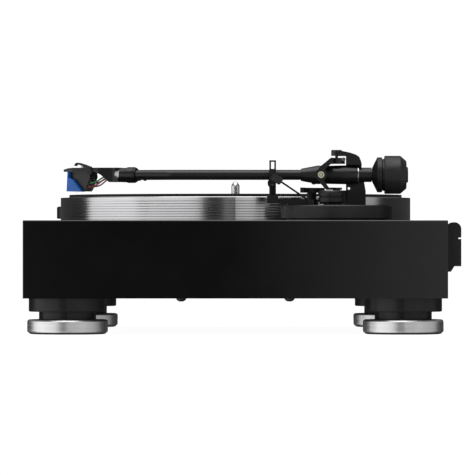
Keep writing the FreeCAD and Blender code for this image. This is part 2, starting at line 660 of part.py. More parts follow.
def cue_lever():
    """A hub on a short axle, and a straight rod that rises to the front."""
    hub = rod(2, 4.4, "lever_x - 2.2", "lever_y", "lever_z", ALONG_X)
    axle = rod(1, 9.2, "lever_x - 4.6", "lever_y", "lever_z", ALONG_X)
    lever = rod("lever_radius", "lever_length", "lever_x", "lever_y", "lever_z",
                lever_rotation())
    return sub_part(fuse(hub, axle, lever), "cue_lever")


def cue_handle():
    """A flat grip with eased corners, pushed onto the lever's end."""
    shape = [(-3.3, 0), (-2.2, -1.2), (2.2, -1.2), (3.3, 0), (3.3, 6), (2.2, 8.2),
             (-2.2, 8.2), (-3.3, 6)]
    grip = slab("grip", shape, 7, 0, 0, 0)
    grip.Placement = Placement(Vector(), lever_rotation())
    reach = "(lever_length - 4)"
    place_expressions = {
        "Placement__Base__x": "lever_x - 3.5",
        "Placement__Base__y": f"lever_y - {reach} * cos(lever_tilt * 1deg)",
        "Placement__Base__z": f"lever_z + {reach} * sin(lever_tilt * 1deg)",
    }
    bind(grip, **place_expressions)
    lever = rod("lever_radius", "lever_length", "lever_x", "lever_y", "lever_z",
                lever_rotation())
    return sub_part(cut(grip, lever), "cue_handle")


# ---------------------------------------------------------------- tonearm

def gimbal_yoke():
    """A forked frame round the arm, turning on the two vertical bearings."""
    frame = slab("yoke", [(7, "yoke_top"), (-5, "yoke_top"), (-13.2, 140.6),
                          (-16.6, 136.4), (-17.4, "arm_z"), (-16.2, 129.2),
                          (-8.5, "yoke_bottom"), (4.5, "yoke_bottom"),
                          (4.5, "yoke_bottom + 1.8"), (-6.6, "yoke_bottom + 1.8"),
                          (-11.8, 129.6), (-12.2, "arm_z"), (-11.4, 136.6),
                          (-4.6, "yoke_top - 5"), (7, "yoke_top - 5")],
                 "2 * yoke_half", "arm_x - yoke_half", "axis_y", 0)
    middle = block("arm_x - cheek_inner", "arm_x + cheek_inner", "axis_y - 30", "axis_y + 20",
                   "yoke_bottom + 1.8", "yoke_top - 5")
    sides = [rod("screw_radius + 2.2", "yoke_half - cheek_inner", x, "pivot_y", "arm_z", ALONG_X)
             for x in ("arm_x - yoke_half", "arm_x + cheek_inner")]
    sweep = fuse(rod(7.3, 40, "arm_x", "axis_y", "yoke_bottom - 5"),
                 block("arm_x - 20", "arm_x + 20", "axis_y - 20", "axis_y - 3",
                       "yoke_bottom - 5", "yoke_top + 5"))
    frame = common(cut(frame, middle), sweep)
    axle = rod("bearing_radius", 10.2, "arm_x", "axis_y", "pillar_top - 9.6")
    screw_way = rod("screw_body", "4 * yoke_half", "arm_x - 2 * yoke_half", "pivot_y",
                    "arm_z", ALONG_X)
    tip_way = rod("tip_radius + play", 4, "arm_x", "axis_y", "yoke_top - 1.7")
    return sub_part(cut(fuse(frame, axle, *sides), screw_way, tip_way), "gimbal_yoke")


def pivot_screws():
    """Two screws with slotted heads, whose tips carry the arm in the yoke."""
    screws = []
    for sign in (-1, 1):
        turn = Rotation(Vector(0, 1, 0), 90 * sign)
        tip = rod("tip_radius", 5, f"arm_x + {sign} * 4.7", "pivot_y", "arm_z", turn)
        shank = rod("screw_body", "yoke_half - cheek_inner", f"arm_x + {sign} * cheek_inner",
                    "pivot_y", "arm_z", turn)
        head = rod("screw_radius", 1.1, f"arm_x + {sign} * yoke_half", "pivot_y", "arm_z",
                   turn)
        outer = f"arm_x + {sign} * (yoke_half + 1.1)"
        slot = block(outer + " - 0.5", outer + " + 0.5", "pivot_y - 2", "pivot_y + 2",
                     "arm_z - 0.4", "arm_z + 0.4")
        screws.append(cut(fuse(tip, shank, head), slot))
    return sub_part(group(screws), "pivot_screws")


def arm_tube():
    """The tube: straight, one bend inward, and a short straight to the headshell."""
    body = new_body("tube")
    path = new_sketch(body, "XY_Plane")
    straight, radius = value("tube_straight"), value("bend_radius")
    turn = math.radians(value("head_angle"))
    front = value("tube_front")
    bend_start = Vector(0, -straight, 0)
    centre = Vector(-radius, -straight, 0)
    bend_end = centre + Vector(radius * math.cos(turn), -radius * math.sin(turn), 0)
    end = bend_end + Vector(-front * math.sin(turn), -front * math.cos(turn), 0)
    path.addGeometry(Part.LineSegment(Vector(), bend_start), False)
    path.addGeometry(Part.ArcOfCircle(
        Part.Circle(centre, Vector(0, 0, 1), radius), -turn, 0), False)
    path.addGeometry(Part.LineSegment(bend_end, end), False)
    for joint in ((0, 1, -1, 1), (0, 2, 1, 2), (1, 1, 2, 1)):
        path.addConstraint(Sketcher.Constraint("Coincident", *joint))
    bend_x = "bend_radius * (1 - cos(head_angle * 1deg))"
    bend_y = "tube_straight + bend_radius * sin(head_angle * 1deg)"
    hold_point(path, 0, 2, 0, "-tube_straight")
    held = path.addConstraint(Sketcher.Constraint("Radius", 1, radius))
    path.setExpression(f"Constraints[{held}]", link("bend_radius"))
    hold_point(path, 2, 1, f"-({bend_x})", f"-({bend_y})")
    hold_point(path, 2, 2, f"-({bend_x}) - tube_front * sin(head_angle * 1deg)",
               f"-({bend_y}) - tube_front * cos(head_angle * 1deg)")
    ring = new_sketch(body, "XZ_Plane")
    for text in ("tube_radius", "tube_bore"):
        index = ring.addGeometry(Part.Circle(Vector(), Vector(0, 0, 1), value(text)), False)
        ring.addConstraint(Sketcher.Constraint("Coincident", index, 3, -1, 1))
        held = ring.addConstraint(Sketcher.Constraint("Radius", index, value(text)))
        ring.setExpression(f"Constraints[{held}]", link(text))
    pipe = body.newObject("PartDesign::AdditivePipe", "bent_tube")
    pipe.Profile = ring
    pipe.Spine = path
    return sub_part(place(body, "arm_x", "tube_rear", "arm_z"), "arm_tube")


def arm_cone():
    cone = [("-16.5", "tube_radius"), ("-16.5", 5.2), (-2.2, "cone_radius"),
            (-2.2, 0), ("tube_rear - pivot_y", 0), ("tube_rear - pivot_y", "tube_radius")]
    holes = pivot_holes()
    return sub_part(cut(turned_along("cone", cone, "arm_x", "pivot_y", "arm_z"), *holes),
                    "arm_cone")


def pivot_holes():
    """The two blind holes in the arm for the pivot screws' tips."""
    return [rod("tip_radius + play", 12, f"arm_x + {sign} * 4.3", "pivot_y", "arm_z",
                Rotation(Vector(0, 1, 0), 90 * sign)) for sign in (-1, 1)]


def arm_housing():
    case = [(-2.2, 0), (-2.2, "cone_radius"), (2, "body_radius"), (10, "body_radius + 0.25"),
            (20, "body_radius + 0.45"), (29.5, "body_radius"), (31, "body_radius - 0.3"),
            (31, 0)]
    return sub_part(cut(turned_along("housing", case, "arm_x", "pivot_y", "arm_z"),
                        *pivot_holes()), "arm_housing")


def trim_ring():
    ring = [(31, 0), (31, "body_radius + 0.2"), (31.8, "body_radius + 0.2"), (31.8, 0)]
    return sub_part(turned_along("trim", ring, "arm_x", "pivot_y", "arm_z"), "trim_ring")


def rear_stub():
    """The rear of the arm, stepped down to the shaft that the counterweight rides on."""
    stub = [(31.8, 0), (31.8, "stub_radius"), (42.6, "stub_radius"), (42.6, "shaft_radius"),
            (63.5, "shaft_radius"), (64, "shaft_radius - 0.5"), (64, 0)]
    return sub_part(turned_along("stub", stub, "arm_x", "pivot_y", "arm_z"), "rear_stub")


def counterweight():
    bore = "shaft_radius + play"
    weight = [("weight_front", bore), ("weight_front", 13.4), ("weight_front + 1.6", 13.4),
              ("weight_front + 1.6", "weight_radius - 0.5"),
              ("weight_front + 2.1", "weight_radius"), (66.6, "weight_radius"),
              (67.1, "weight_radius - 0.4"), (71.4, 11.9), (71.75, 11.45), (71.75, 6.65),
              (73.15, 6.3), (73.15, 0), (72, 0), (72, bore)]
    return sub_part(turned_along("weight", weight, "arm_x", "pivot_y", "arm_z"),
                    "counterweight")


def force_dial():
    bore = "shaft_radius + play"
    dial = [(43.1, bore), (43.1, 6), (47.2, "dial_radius - 0.3"), (47.5, "dial_radius"),
            ("weight_front - gap - 0.3", "dial_radius"),
            ("weight_front - gap", "dial_radius - 0.3"), ("weight_front - gap", bore)]
    return sub_part(turned_along("dial", dial, "arm_x", "pivot_y", "arm_z"), "force_dial")


# ---------------------------------------------------------------- headshell and cartridge

def headshell_collar():
    """The locking ring at the tube's end, with a raised band and a lip over the plug."""
    bore, lip = "tube_radius + play", "plug_radius + play"
    ring = [(-1.2, bore), (-1.2, "collar_radius - 0.4"), (-1.8, "collar_radius"),
            (-2.4, "collar_radius"), (-3, "collar_radius + 0.5"),
            (-9, "collar_radius + 0.5"), (-9.6, "collar_radius"),
            ("-collar_length", "collar_radius - 0.2"), ("-collar_length", lip),
            (-11.4, lip), (-11.4, bore)]
    return sub_part(in_head(turned_along("collar", ring, *HEAD)), "headshell_collar")


def headshell():
    """A shell with a solid rear, a flat plate, a curved nose and a round plug."""
    side = [(-16, "shell_top - 0.6"), (-16.8, "shell_top"), (-57, "shell_top"),
            (-62, "shell_top - 0.4"), (-66.6, "shell_top - 1.4"), (-67.4, "shell_top - 2.1"),
            (-67.3, "shell_top - 3"), (-66.4, "shell_top - 3.4"), (-61, "shell_under"),
            (-36.6, "shell_under"), (-31.5, 0.6), (-27.5, -2.6), (-24.2, -5.9), (-16, -5.9)]
    plate = slab("shell", side, "2 * shell_half", "0 - shell_half", 0, 0)
    top = slab("shell_plan", [("-5.6", -15), (-5.6, -21), ("0 - shell_half", -33),
                              ("0 - shell_half", -57), ("3 - shell_half", -64),
                              ("5.4 - shell_half", -68), ("shell_half - 5.4", -68),
                              ("shell_half - 3", -64), ("shell_half", -57),
                              ("shell_half", -33), (5.6, -21), (5.6, -15)],
               20, 0, 0, -8, "XY_Plane")
    plug = turned_along("plug", [(-11, 0), (-11, "plug_radius"), (-22.5, "plug_radius"),
                                 (-22.5, 0)], 0, 0, 0)
    holes = [rod(1.3, 20, f"{sign} * mount_spacing / 2", "-mount_along", -5)
             for sign in (-1, 1)]
    hollow = rod(4.05, 12, -6, -16.1, 1.8, ALONG_X)
    shell = cut(fuse(cut(common(plate, top), hollow), plug), *holes)
    return sub_part(in_head(shell), "headshell")


def finger_lift():
    """A thin curved grip beside the shell, on a flange screwed down its outer side."""
    strip = [(-38.5, "shell_top + 0.6"), (-44.4, "shell_top + 2.7"), (-49.5, "shell_top + 4.1"),
             (-51.3, "shell_top + 4.2"), (-52.4, "shell_top + 3.3"),
             (-53.2, "shell_top + 1.7"), (-52.2, "shell_top + 1.4"),
             (-51.3, "shell_top + 2.7"), (-50, "shell_top + 2.8"), (-45, "shell_top + 1.1"),
             (-42.5, "shell_top"), (-38.5, "shell_top - 1")]
    grip = slab("grip", strip, 4.5, "shell_half", 0, 0)
    side = slab("side", [(-38.5, "shell_top + 0.6"), (-43, "shell_top - 0.2"), (-43, 1.6),
                         (-42.2, 0.8), (-39.3, 0.8), (-38.5, 1.6)], 1.2, "shell_half", 0, 0)
    return sub_part(in_head(fuse(grip, side)), "finger_lift")


def cartridge():
    """The cartridge body, the removable stylus holder in front of it, and the cantilever."""
    body = slab("motor", [(-41.5, "shell_under"), (-40.8, -1.5), (-42.1, -5), (-43.8, -9),
                          (-44.6, -11.2), (-46.4, -13.7), (-47.5, -12.4), (-50.5, -8.6),
                          (-54.6, -3.6), (-58.4, -1.9), (-58.4, "shell_under")],
                "2 * cartridge_half", "0 - cartridge_half", 0, 0)
    threads = [rod(1.3, 6, f"{sign} * mount_spacing / 2", "-mount_along", "shell_under - 4")
               for sign in (-1, 1)]
    sub_part(in_head(cut(body, *threads)), "cartridge_body")
    holder = slab("holder", [(-59.4, "shell_under - 0.1"), (-58.6, "shell_under - 0.1"),
                             (-58.6, -2.1), (-54.8, -3.9), (-50.8, -8.7), (-47.8, -12.5),
                             (-46.8, -13.7), (-60.2, -13.7)],
                  "2 * stylus_half", "0 - stylus_half", 0, 0)
    sub_part(in_head(holder), "stylus_holder")
    lever = [(-49, -13.7), (-57.6, -13.9), (-58, -14.4), (-57.3, -14.4), (-56.8, -14.15),
             (-49, -14.1)]
    sub_part(in_head(slab("needle", lever, 0.5, -0.25, 0, 0)), "cantilever")


def cartridge_screws():
    screws = []
    for sign in (-1, 1):
        x = f"{sign} * mount_spacing / 2"
        head = rod(2.1, 1.2, x, "-mount_along", "shell_top")
        shank = rod(1.3, "shell_top - shell_under + 3.8", x, "-mount_along",
                    "shell_under - 3.8")
        slot = box(f"{x} - 2.5", "-mount_along - 0.25", "shell_top + 0.7", 5, 0.5, 1)
        screws.append(cut(fuse(head, shank), slot))
    return sub_part(in_head(group(screws)), "cartridge_screws")


def cartridge_leads():
    """Four leads from the cartridge's rear pins to the headshell, each a short sleeve."""
    leads = []
    for across in (-4.9, 4.9):
        for back, low in ((-43.5, -9.6), (-42.3, -6.6)):
            leads.append(rod(0.55, 9, across, back, low, ALONG_Y))
    return sub_part(in_head(group(leads)), "cartridge_leads")


# ---------------------------------------------------------------- build and write out

for make in (plinth_shell, bottom_cover, bottom_screws, foot_housings, feet, platter,
             platter_mat, spindle, rotor_magnet, bearing_housing, motor, circuit_boards,
             jack_panel, phono_jacks, power_inlet, preamp_switch, ground_terminal, hinges,
             speed_knob, antiskate_knob, arm_base, arm_pillar, bearing_tower, top_bearing,
             arm_rest, arm_clip, lift_housing, lift_rail, cue_lever, cue_handle, gimbal_yoke,
             pivot_screws, arm_tube, arm_cone, arm_housing, trim_ring, rear_stub,
             counterweight, force_dial, headshell_collar, headshell, finger_lift, cartridge,
             cartridge_screws, cartridge_leads):
    make()

doc.recompute()
for thing in doc.Objects:
    if {"Invalid", "Error"} & set(thing.State):
        raise RuntimeError(f"{thing.Label} ({thing.Name}) did not build")
for thing in PARTS:
    if thing.Shape.isNull() or not thing.Shape.isValid() or not thing.Shape.Solids:
        raise RuntimeError(f"{thing.Label} has no valid solid")
    thing.Shape.exportStep(f"parts/{thing.Label}.step")
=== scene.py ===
import json
import math

import bmesh
import bpy
from mathutils import Matrix, Vector


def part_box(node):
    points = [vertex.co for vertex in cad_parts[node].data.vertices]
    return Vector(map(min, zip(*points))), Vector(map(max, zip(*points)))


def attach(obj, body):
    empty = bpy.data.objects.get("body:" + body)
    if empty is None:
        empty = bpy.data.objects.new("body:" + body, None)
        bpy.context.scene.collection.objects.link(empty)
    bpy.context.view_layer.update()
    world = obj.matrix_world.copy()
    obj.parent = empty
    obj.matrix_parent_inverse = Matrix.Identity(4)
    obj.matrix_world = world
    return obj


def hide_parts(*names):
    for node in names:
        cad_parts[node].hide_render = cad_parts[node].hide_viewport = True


# The looks of a direct-drive record player.  Everything is in metres, in the CAD model's frame:
# the front faces -Y, the tonearm is on the +X side and z = 0 is the surface it stands on.

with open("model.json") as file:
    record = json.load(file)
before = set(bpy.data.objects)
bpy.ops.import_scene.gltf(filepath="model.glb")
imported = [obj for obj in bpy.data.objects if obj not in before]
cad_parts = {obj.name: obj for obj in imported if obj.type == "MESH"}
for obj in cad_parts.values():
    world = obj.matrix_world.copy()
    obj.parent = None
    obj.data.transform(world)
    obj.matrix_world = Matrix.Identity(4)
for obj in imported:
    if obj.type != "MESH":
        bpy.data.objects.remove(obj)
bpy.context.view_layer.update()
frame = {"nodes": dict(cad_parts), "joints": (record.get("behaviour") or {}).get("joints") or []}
NODES = frame["nodes"]
JOINTS = {joint["name"]: joint for joint in frame["joints"]}
MM = 0.001


# ---------------------------------------------------------------- node helpers

class Finish:
    """One material: a Principled shader, and helpers that add detail to it."""

    def __init__(self, name, color, roughness, metallic=0.0, **sockets):
        self.material = bpy.data.materials.new(name)
        self.material.use_nodes = True
        self.tree = self.material.node_tree
        self.shader = self.tree.nodes["Principled BSDF"]
        self.color = color
        self.shader.inputs["Base Color"].default_value = (*color, 1)
        self.shader.inputs["Roughness"].default_value = roughness
        self.shader.inputs["Metallic"].default_value = metallic
        for socket, number in sockets.items():
            self.shader.inputs[socket.replace("_", " ")].default_value = number
        self.last_bump = None

    def node(self, kind, **settings):
        made = self.tree.nodes.new(kind)
        for name, setting in settings.items():
            setattr(made, name, setting)
        return made

    def link(self, source, target):
        self.tree.links.new(source, target)

    def feed(self, sockets, values):
        """Gives each socket its number, or links another node's output to it."""
        for socket, given in zip(sockets, values):
            if isinstance(given, (int, float)):
                socket.default_value = given
            else:
                self.link(given, socket)

    def math(self, operation, first, second=0.0):
        made = self.node("ShaderNodeMath", operation=operation)
        self.feed(made.inputs, (first, second))
        return made.outputs[0]

    def place(self):
        """The piece's own coordinates, in metres."""
        return self.node("ShaderNodeTexCoord").outputs["Object"]

    def place_from(self, centre):
        shift = self.node("ShaderNodeVectorMath", operation="SUBTRACT")
        self.link(self.place(), shift.inputs[0])
        shift.inputs[1].default_value = centre
        return shift.outputs[0]

    def lathe(self, centre, axis="Z"):
        """Distance from a turning axis, distance along it, and the angle round it."""
        split = self.node("ShaderNodeSeparateXYZ")
        self.link(self.place_from(centre), split.inputs[0])
        across, up = [n for n in "XYZ" if n != axis]
        a, b = split.outputs[across], split.outputs[up]
        squares = self.math("ADD", self.math("MULTIPLY", a, a), self.math("MULTIPLY", b, b))
        return self.math("SQRT", squares), split.outputs[axis], self.math("ARCTAN2", b, a)

    def combine(self, x, y, z=0.0):
        made = self.node("ShaderNodeCombineXYZ")
        self.feed(made.inputs, (x, y, z))
        return made.outputs[0]

    def noise(self, scale, detail=4, vector=None, rough=0.55):
        made = self.node("ShaderNodeTexNoise")
        made.inputs["Scale"].default_value = scale
        made.inputs["Detail"].default_value = detail
        made.inputs["Roughness"].default_value = rough
        self.link(vector or self.place(), made.inputs["Vector"])
        return made.outputs[0]

    def spread(self, value, low, high, start=0.0, end=1.0):
        made = self.node("ShaderNodeMapRange")
        self.link(value, made.inputs["Value"])
        for name, number in (("From Min", start), ("From Max", end), ("To Min", low),
                             ("To Max", high)):
            made.inputs[name].default_value = number
        return made.outputs[0]

    def tint(self, value, dark, light, start=0.3, end=0.7):
        """The base colour, varied between two shades by a value."""
        ramp = self.node("ShaderNodeValToRGB")
        ramp.color_ramp.elements[0].position = start
        ramp.color_ramp.elements[1].position = end
        ramp.color_ramp.elements[0].color = (*dark, 1)
        ramp.color_ramp.elements[1].color = (*light, 1)
        self.link(value, ramp.inputs["Fac"])
        self.link(ramp.outputs["Color"], self.shader.inputs["Base Color"])
        return self

    def shades(self, value, amount=0.2, start=0.3, end=0.7):
        """The base colour, darker and lighter by a share of itself."""
        dark = [c * (1 - amount) for c in self.color]
        light = [min(1, c * (1 + amount)) for c in self.color]
        return self.tint(value, dark, light, start, end)

    def vary_roughness(self, value, low, high, start=0.3, end=0.7):
        self.link(self.spread(value, low, high, start, end), self.shader.inputs["Roughness"])
        return self

    def bump(self, value, depth, strength=1.0):
        """Relief of a depth in metres; a second call adds to the first."""
        made = self.node("ShaderNodeBump")
        made.inputs["Strength"].default_value = strength
        made.inputs["Distance"].default_value = depth
        self.link(value, made.inputs["Height"])
        if self.last_bump:
            self.link(self.last_bump.outputs[0], made.inputs["Normal"])
        self.link(made.outputs[0], self.shader.inputs["Normal"])
        self.last_bump = made
        return self

    def across_turning(self, centre):
        """Stretches highlights across fine lines that run round a vertical axis."""
        along = self.node("ShaderNodeVectorMath", operation="CROSS_PRODUCT")
        along.inputs[0].default_value = (0, 0, 1)
        self.link(self.place_from(centre), along.inputs[1])
        across = self.node("ShaderNodeVectorMath", operation="CROSS_PRODUCT")
        self.link(self.node("ShaderNodeNewGeometry").outputs["True Normal"], across.inputs[0])
        self.link(along.outputs[0], across.inputs[1])
        self.link(across.outputs[0], self.shader.inputs["Tangent"])
        return self


def dress(finish, *names):
    """Gives CAD nodes a finish."""
    for name in names:
        slots = NODES[name].data.materials
        slots.clear()
        slots.append(finish.material)


# ---------------------------------------------------------------- finishes

def gloss_lacquer():
    """Black polished lacquer: a faint orange peel and slightly uneven gloss."""
    finish = Finish("black_lacquer", (0.0032, 0.0032, 0.0034), 0.04, IOR=1.5)
    finish.vary_roughness(finish.noise(9, 3), 0.03, 0.06)
    finish.shades(finish.noise(30, 5), 0.25)
    return finish.bump(finish.noise(160, 2), 0.00001, 0.2)


def moulded_black(name, shade=0.018, rough=0.48, grain=2600):
    """Moulded black plastic with a fine spark-eroded grain."""
    finish = Finish(name, (shade, shade, shade * 1.04), rough, IOR=1.42)
    grain_noise = finish.noise(grain, 3)
    finish.shades(finish.noise(70, 4), 0.18)
    finish.vary_roughness(grain_noise, rough - 0.08, rough + 0.1)
    return finish.bump(grain_noise, 0.04 * MM, 0.6)


def painted(name, shade, rough, coat):
    """Satin paint on metal: an even tone with a fine texture and an uneven gloss."""
    finish = Finish(name, (shade, shade, shade * 1.03), rough, IOR=1.42, Coat_Weight=coat,
                    Coat_Roughness=0.2)
    finish.shades(finish.noise(45, 5), 0.16)
    finish.vary_roughness(finish.noise(120, 4), rough - 0.06, rough + 0.08)
    return finish.bump(finish.noise(1500, 2), 0.02 * MM, 0.5)


def turned_metal(name, centre, axis="Z", color=(0.62, 0.62, 0.63), rough=0.26, lines=1600,
                 depth=0.012 * MM, anisotropic=0.0):
    """Metal off a lathe: fine lines round the axis, in relief, tone and gloss."""
    drift = 0.06 * MM  # how far a line wanders in each radian, so that it isn't quite even
    finish = Finish(name, color, rough, 1.0, Anisotropic=anisotropic)
    radius, along, angle = finish.lathe(centre, axis)
    turned = finish.noise(
        lines, 3, finish.combine(radius, along, finish.math("MULTIPLY", angle, drift)), 0.7)
    finish.shades(turned, 0.14, 0.35, 0.65)
    finish.vary_roughness(turned, rough - 0.07, rough + 0.09)
    finish.bump(turned, depth, 0.7)
    if anisotropic:
        finish.across_turning(centre)
    return finish


def rubber(name, shade=0.016, rough=0.72):
    finish = Finish(name, (shade, shade, shade), rough, IOR=1.45)
    dust = finish.noise(900, 5)
    finish.shades(finish.noise(60, 5), 0.25)
    finish.vary_roughness(dust, rough - 0.1, rough + 0.1)
    return finish.bump(dust, 0.05 * MM, 0.6)


def ribbed_mat(centre):
    """The mat: fine concentric ribs on its playing area, smooth on the label's recess."""
    finish = rubber("ribbed_mat", 0.013, 0.68)
    finish.shader.inputs["Specular IOR Level"].default_value = 0.3
    pitch, first, last = 2.4 * MM, 52.5 * MM, 142.5 * MM
    radius = finish.lathe(centre)[0]
    wave = finish.math("SINE", finish.math("MULTIPLY", radius, math.tau / pitch))
    ribbed = finish.math("MULTIPLY", finish.math("GREATER_THAN", radius, first),
                         finish.math("LESS_THAN", radius, last))
    return finish.bump(finish.math("MULTIPLY", wave, ribbed), 0.22 * MM, 0.9)


def wound_copper():
    """Turns of thin enamelled wire."""
    finish = Finish("enamelled_copper", (0.55, 0.2, 0.07), 0.3, 0.9)
    wire_pitch = 0.6 * MM
    radius = finish.lathe(PLATTER_CENTRE)[0]
    wires = finish.math("SINE", finish.math("MULTIPLY", radius, math.tau / wire_pitch))
    finish.shades(finish.noise(300, 4), 0.2)
    finish.vary_roughness(finish.noise(500, 3), 0.22, 0.4)
    return finish.bump(wires, 0.1 * MM, 0.8)


def circuit_board():
    """Solder mask over faint copper tracks."""
    finish = Finish("circuit_board", (0.02, 0.13, 0.05), 0.4, IOR=1.5)
    cells = finish.node("ShaderNodeTexBrick")
    cells.inputs["Scale"].default_value = 90
    cells.inputs["Mortar Size"].default_value = 0.06
    finish.link(finish.place(), cells.inputs["Vector"])
    finish.tint(cells.outputs["Fac"], (0.012, 0.1, 0.035), (0.05, 0.25, 0.09), 0.2, 0.8)
    finish.vary_roughness(finish.noise(400, 3), 0.3, 0.5)
    return finish.bump(cells.outputs["Fac"], 0.03 * MM, 0.5)


def coloured_plastic(name, color, rough=0.28):
    finish = Finish(name, color, rough, IOR=1.52, Coat_Weight=0.2, Coat_Roughness=0.15)
    finish.shades(finish.noise(200, 4), 0.15)
    finish.vary_roughness(finish.noise(900, 3), rough - 0.08, rough + 0.1)
    return finish.bump(finish.noise(900, 2), 0.02 * MM, 0.5)


def plain_metal(name, color, rough, grain=1200):
    finish = Finish(name, color, rough, 1.0)
    finish.shades(finish.noise(500, 4), 0.12)
    finish.vary_roughness(finish.noise(grain, 4), max(0.03, rough - 0.08), rough + 0.1)
    return finish.bump(finish.noise(grain, 3), 0.008 * MM, 0.6)


def ringed_metal(name, centre, axis, color, pitch):
    """A screw's bright end: rings round its axis in relief, with painted shade darkening the
    groove of each pitch.
    """
    finish = Finish(name, color, 0.26, 1.0)
    radius = finish.lathe(centre, axis)[0]
    ring = finish.math("SINE", finish.math("MULTIPLY", radius, math.tau / pitch))
    # Painted shade: the colour darkens towards each ring's groove, where the relief is lowest.
    dark = [c * 0.35 for c in color]
    finish.tint(finish.spread(ring, 0.0, 1.0, -1.0, 1.0), dark, color, 0.0, 0.45)
    finish.vary_roughness(finish.noise(2500, 3), 0.2, 0.34)
    return finish.bump(ring, 0.04 * MM, 0.6)


# ---------------------------------------------------------------- places taken from the frame

def middle(name):
    low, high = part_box(name)
    return (low + high) / 2


def joint_place(name):
    return Vector(JOINTS[name]["pos_m"])


PLATTER_CENTRE = tuple(joint_place("platter_spin"))
ARM_AXIS = joint_place("arm_swing")
PIVOT = joint_place("arm_raise")
HEAD = joint_place("collar_turn")
HEAD_AHEAD = Vector(JOINTS["collar_turn"]["axis"]).normalized()
HEAD_SIDE = Vector((0, 0, 1)).cross(HEAD_AHEAD)


def head_point(along, side, up):
    """A place in the headshell's own frame: ahead, towards the outer side, and up."""
    return HEAD + HEAD_AHEAD * along + HEAD_SIDE * side + Vector((0, 0, up))


def dress_cad_nodes():
    """Every CAD node's finish."""
    dress(gloss_lacquer(), "plinth_shell")
    dress(painted("cover_paint", 0.006, 0.5, 0.0), "bottom_cover")
    dress(painted("hinge_paint", 0.006, 0.42, 0.0), "hinge_brackets")
    dress(moulded_black("housing_plastic", 0.007, 0.34), "foot_housings", "jack_panel",
          "power_inlet", "preamp_switch", "hinge_knuckle_left", "hinge_knuckle_right")
    dress(moulded_black("rest_plastic", 0.011, 0.4), "arm_rest", "arm_clip")
    dress(moulded_black("handle_plastic", 0.02, 0.5, 1800), "cue_handle")
    dress(moulded_black("dial_plastic", 0.01, 0.36), "force_dial", "antiskate_knob")
    dress(moulded_black("knob_plastic", 0.009, 0.36), "speed_knob")
    for corner in ("fl", "fr", "rl", "rr"):
        centre = tuple(middle("foot_" + corner))
        dress(turned_metal("foot_metal_" + corner, centre, rough=0.34, lines=2600,
                           color=(0.86, 0.86, 0.87), depth=0.006 * MM), "foot_" + corner)
        dress(rubber("foot_rubber_" + corner), "foot_pad_" + corner)
    dress(turned_metal("platter_metal", PLATTER_CENTRE, color=(0.64, 0.64, 0.65), rough=0.16,
                       lines=2200, depth=0.008 * MM, anisotropic=0.4), "platter")
    dress(ribbed_mat(PLATTER_CENTRE), "platter_mat")
    dress(turned_metal("spindle_metal", PLATTER_CENTRE, rough=0.14, lines=3000,
                       color=(0.7, 0.7, 0.71)), "spindle")
    dress(plain_metal("motor_iron", (0.09, 0.09, 0.09), 0.5), "motor_stator", "rotor_magnet")
    dress(turned_metal("bearing_brass", PLATTER_CENTRE, color=(0.6, 0.45, 0.18)),
          "bearing_housing")
    dress(wound_copper(), "motor_coils")
    dress(circuit_board(), "circuit_boards")
    dress(plain_metal("screw_metal", (0.045, 0.045, 0.05), 0.3), "bottom_screws",
          "hinge_pins")
    dress(plain_metal("nickel", (0.55, 0.54, 0.52), 0.22), "ground_nut", "cartridge_screws")
    dress(plain_metal("post_metal", (0.6, 0.6, 0.6), 0.18), "ground_post")
    dress(ringed_metal("pivot_gold", tuple(PIVOT), "X", (0.93, 0.88, 0.7), 1.736 * MM),
          "pivot_screws")
    dress(plain_metal("gold_plate", (0.8, 0.6, 0.25), 0.2, 2500), "phono_jacks")
    dress(painted("base_paint", 0.014, 0.4, 0.0), "arm_base", "arm_pillar")
    dress(painted("tower_paint", 0.007, 0.34, 0.1), "bearing_tower")
    dress(painted("tube_paint", 0.009, 0.3, 0.15), "arm_tube")
    dress(painted("arm_paint", 0.009, 0.32, 0.15), "arm_cone", "arm_housing", "rear_stub")
    dress(painted("yoke_paint", 0.006, 0.24, 0.25), "gimbal_yoke", "top_bearing")
    dress(painted("lift_paint", 0.004, 0.34, 0.0), "lift_housing", "lift_rail", "cue_lever")
    dress(turned_metal("trim_metal", tuple(PIVOT), "Y", color=(0.6, 0.6, 0.6), rough=0.24),
          "trim_ring")
    dress(painted("weight_paint", 0.016, 0.4, 0.0), "counterweight")
    dress(painted("shell_paint", 0.006, 0.3, 0.15), "headshell", "finger_lift",
          "headshell_collar")
    dress(coloured_plastic("cartridge_plastic", (0.004, 0.004, 0.005), 0.32), "cartridge_body")
    dress(coloured_plastic("stylus_plastic", (0.003, 0.12, 0.5), 0.3), "stylus_holder")
    dress(plain_metal("cantilever_metal", (0.7, 0.7, 0.7), 0.25), "cantilever")


# ---------------------------------------------------------------- added pieces

def show(name, mesh_or_curve, finish, body):
    """Puts a new piece in the scene, on its body and in its material slot."""
    mesh_or_curve.materials.append(finish.material)
    piece = bpy.data.objects.new(name, mesh_or_curve)
    bpy.context.scene.collection.objects.link(piece)
    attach(piece, body)
    return piece


def wire(name, route, radius, finish, body):
    """A round wire along a smooth curve."""
    curve = bpy.data.curves.new(name, "CURVE")
    curve.dimensions = "3D"
    curve.bevel_depth = radius
    curve.bevel_resolution = 4
    curve.use_fill_caps = True
    spline = curve.splines.new("NURBS")
    spline.points.add(len(route) - 1)
    for point, place in zip(spline.points, route):
        point.co = (*place, 1)
    spline.order_u = min(4, len(route))
    spline.use_endpoint_u = True
    spline.resolution_u = 10
    return show(name, curve, finish, body)


def facing(axis, turn=0.0):
    """A rotation that takes local Z to an axis, after a turn about it."""
    return Vector(axis).to_track_quat("Z", "Y").to_matrix() @ Matrix.Rotation(turn, 3, "Z")


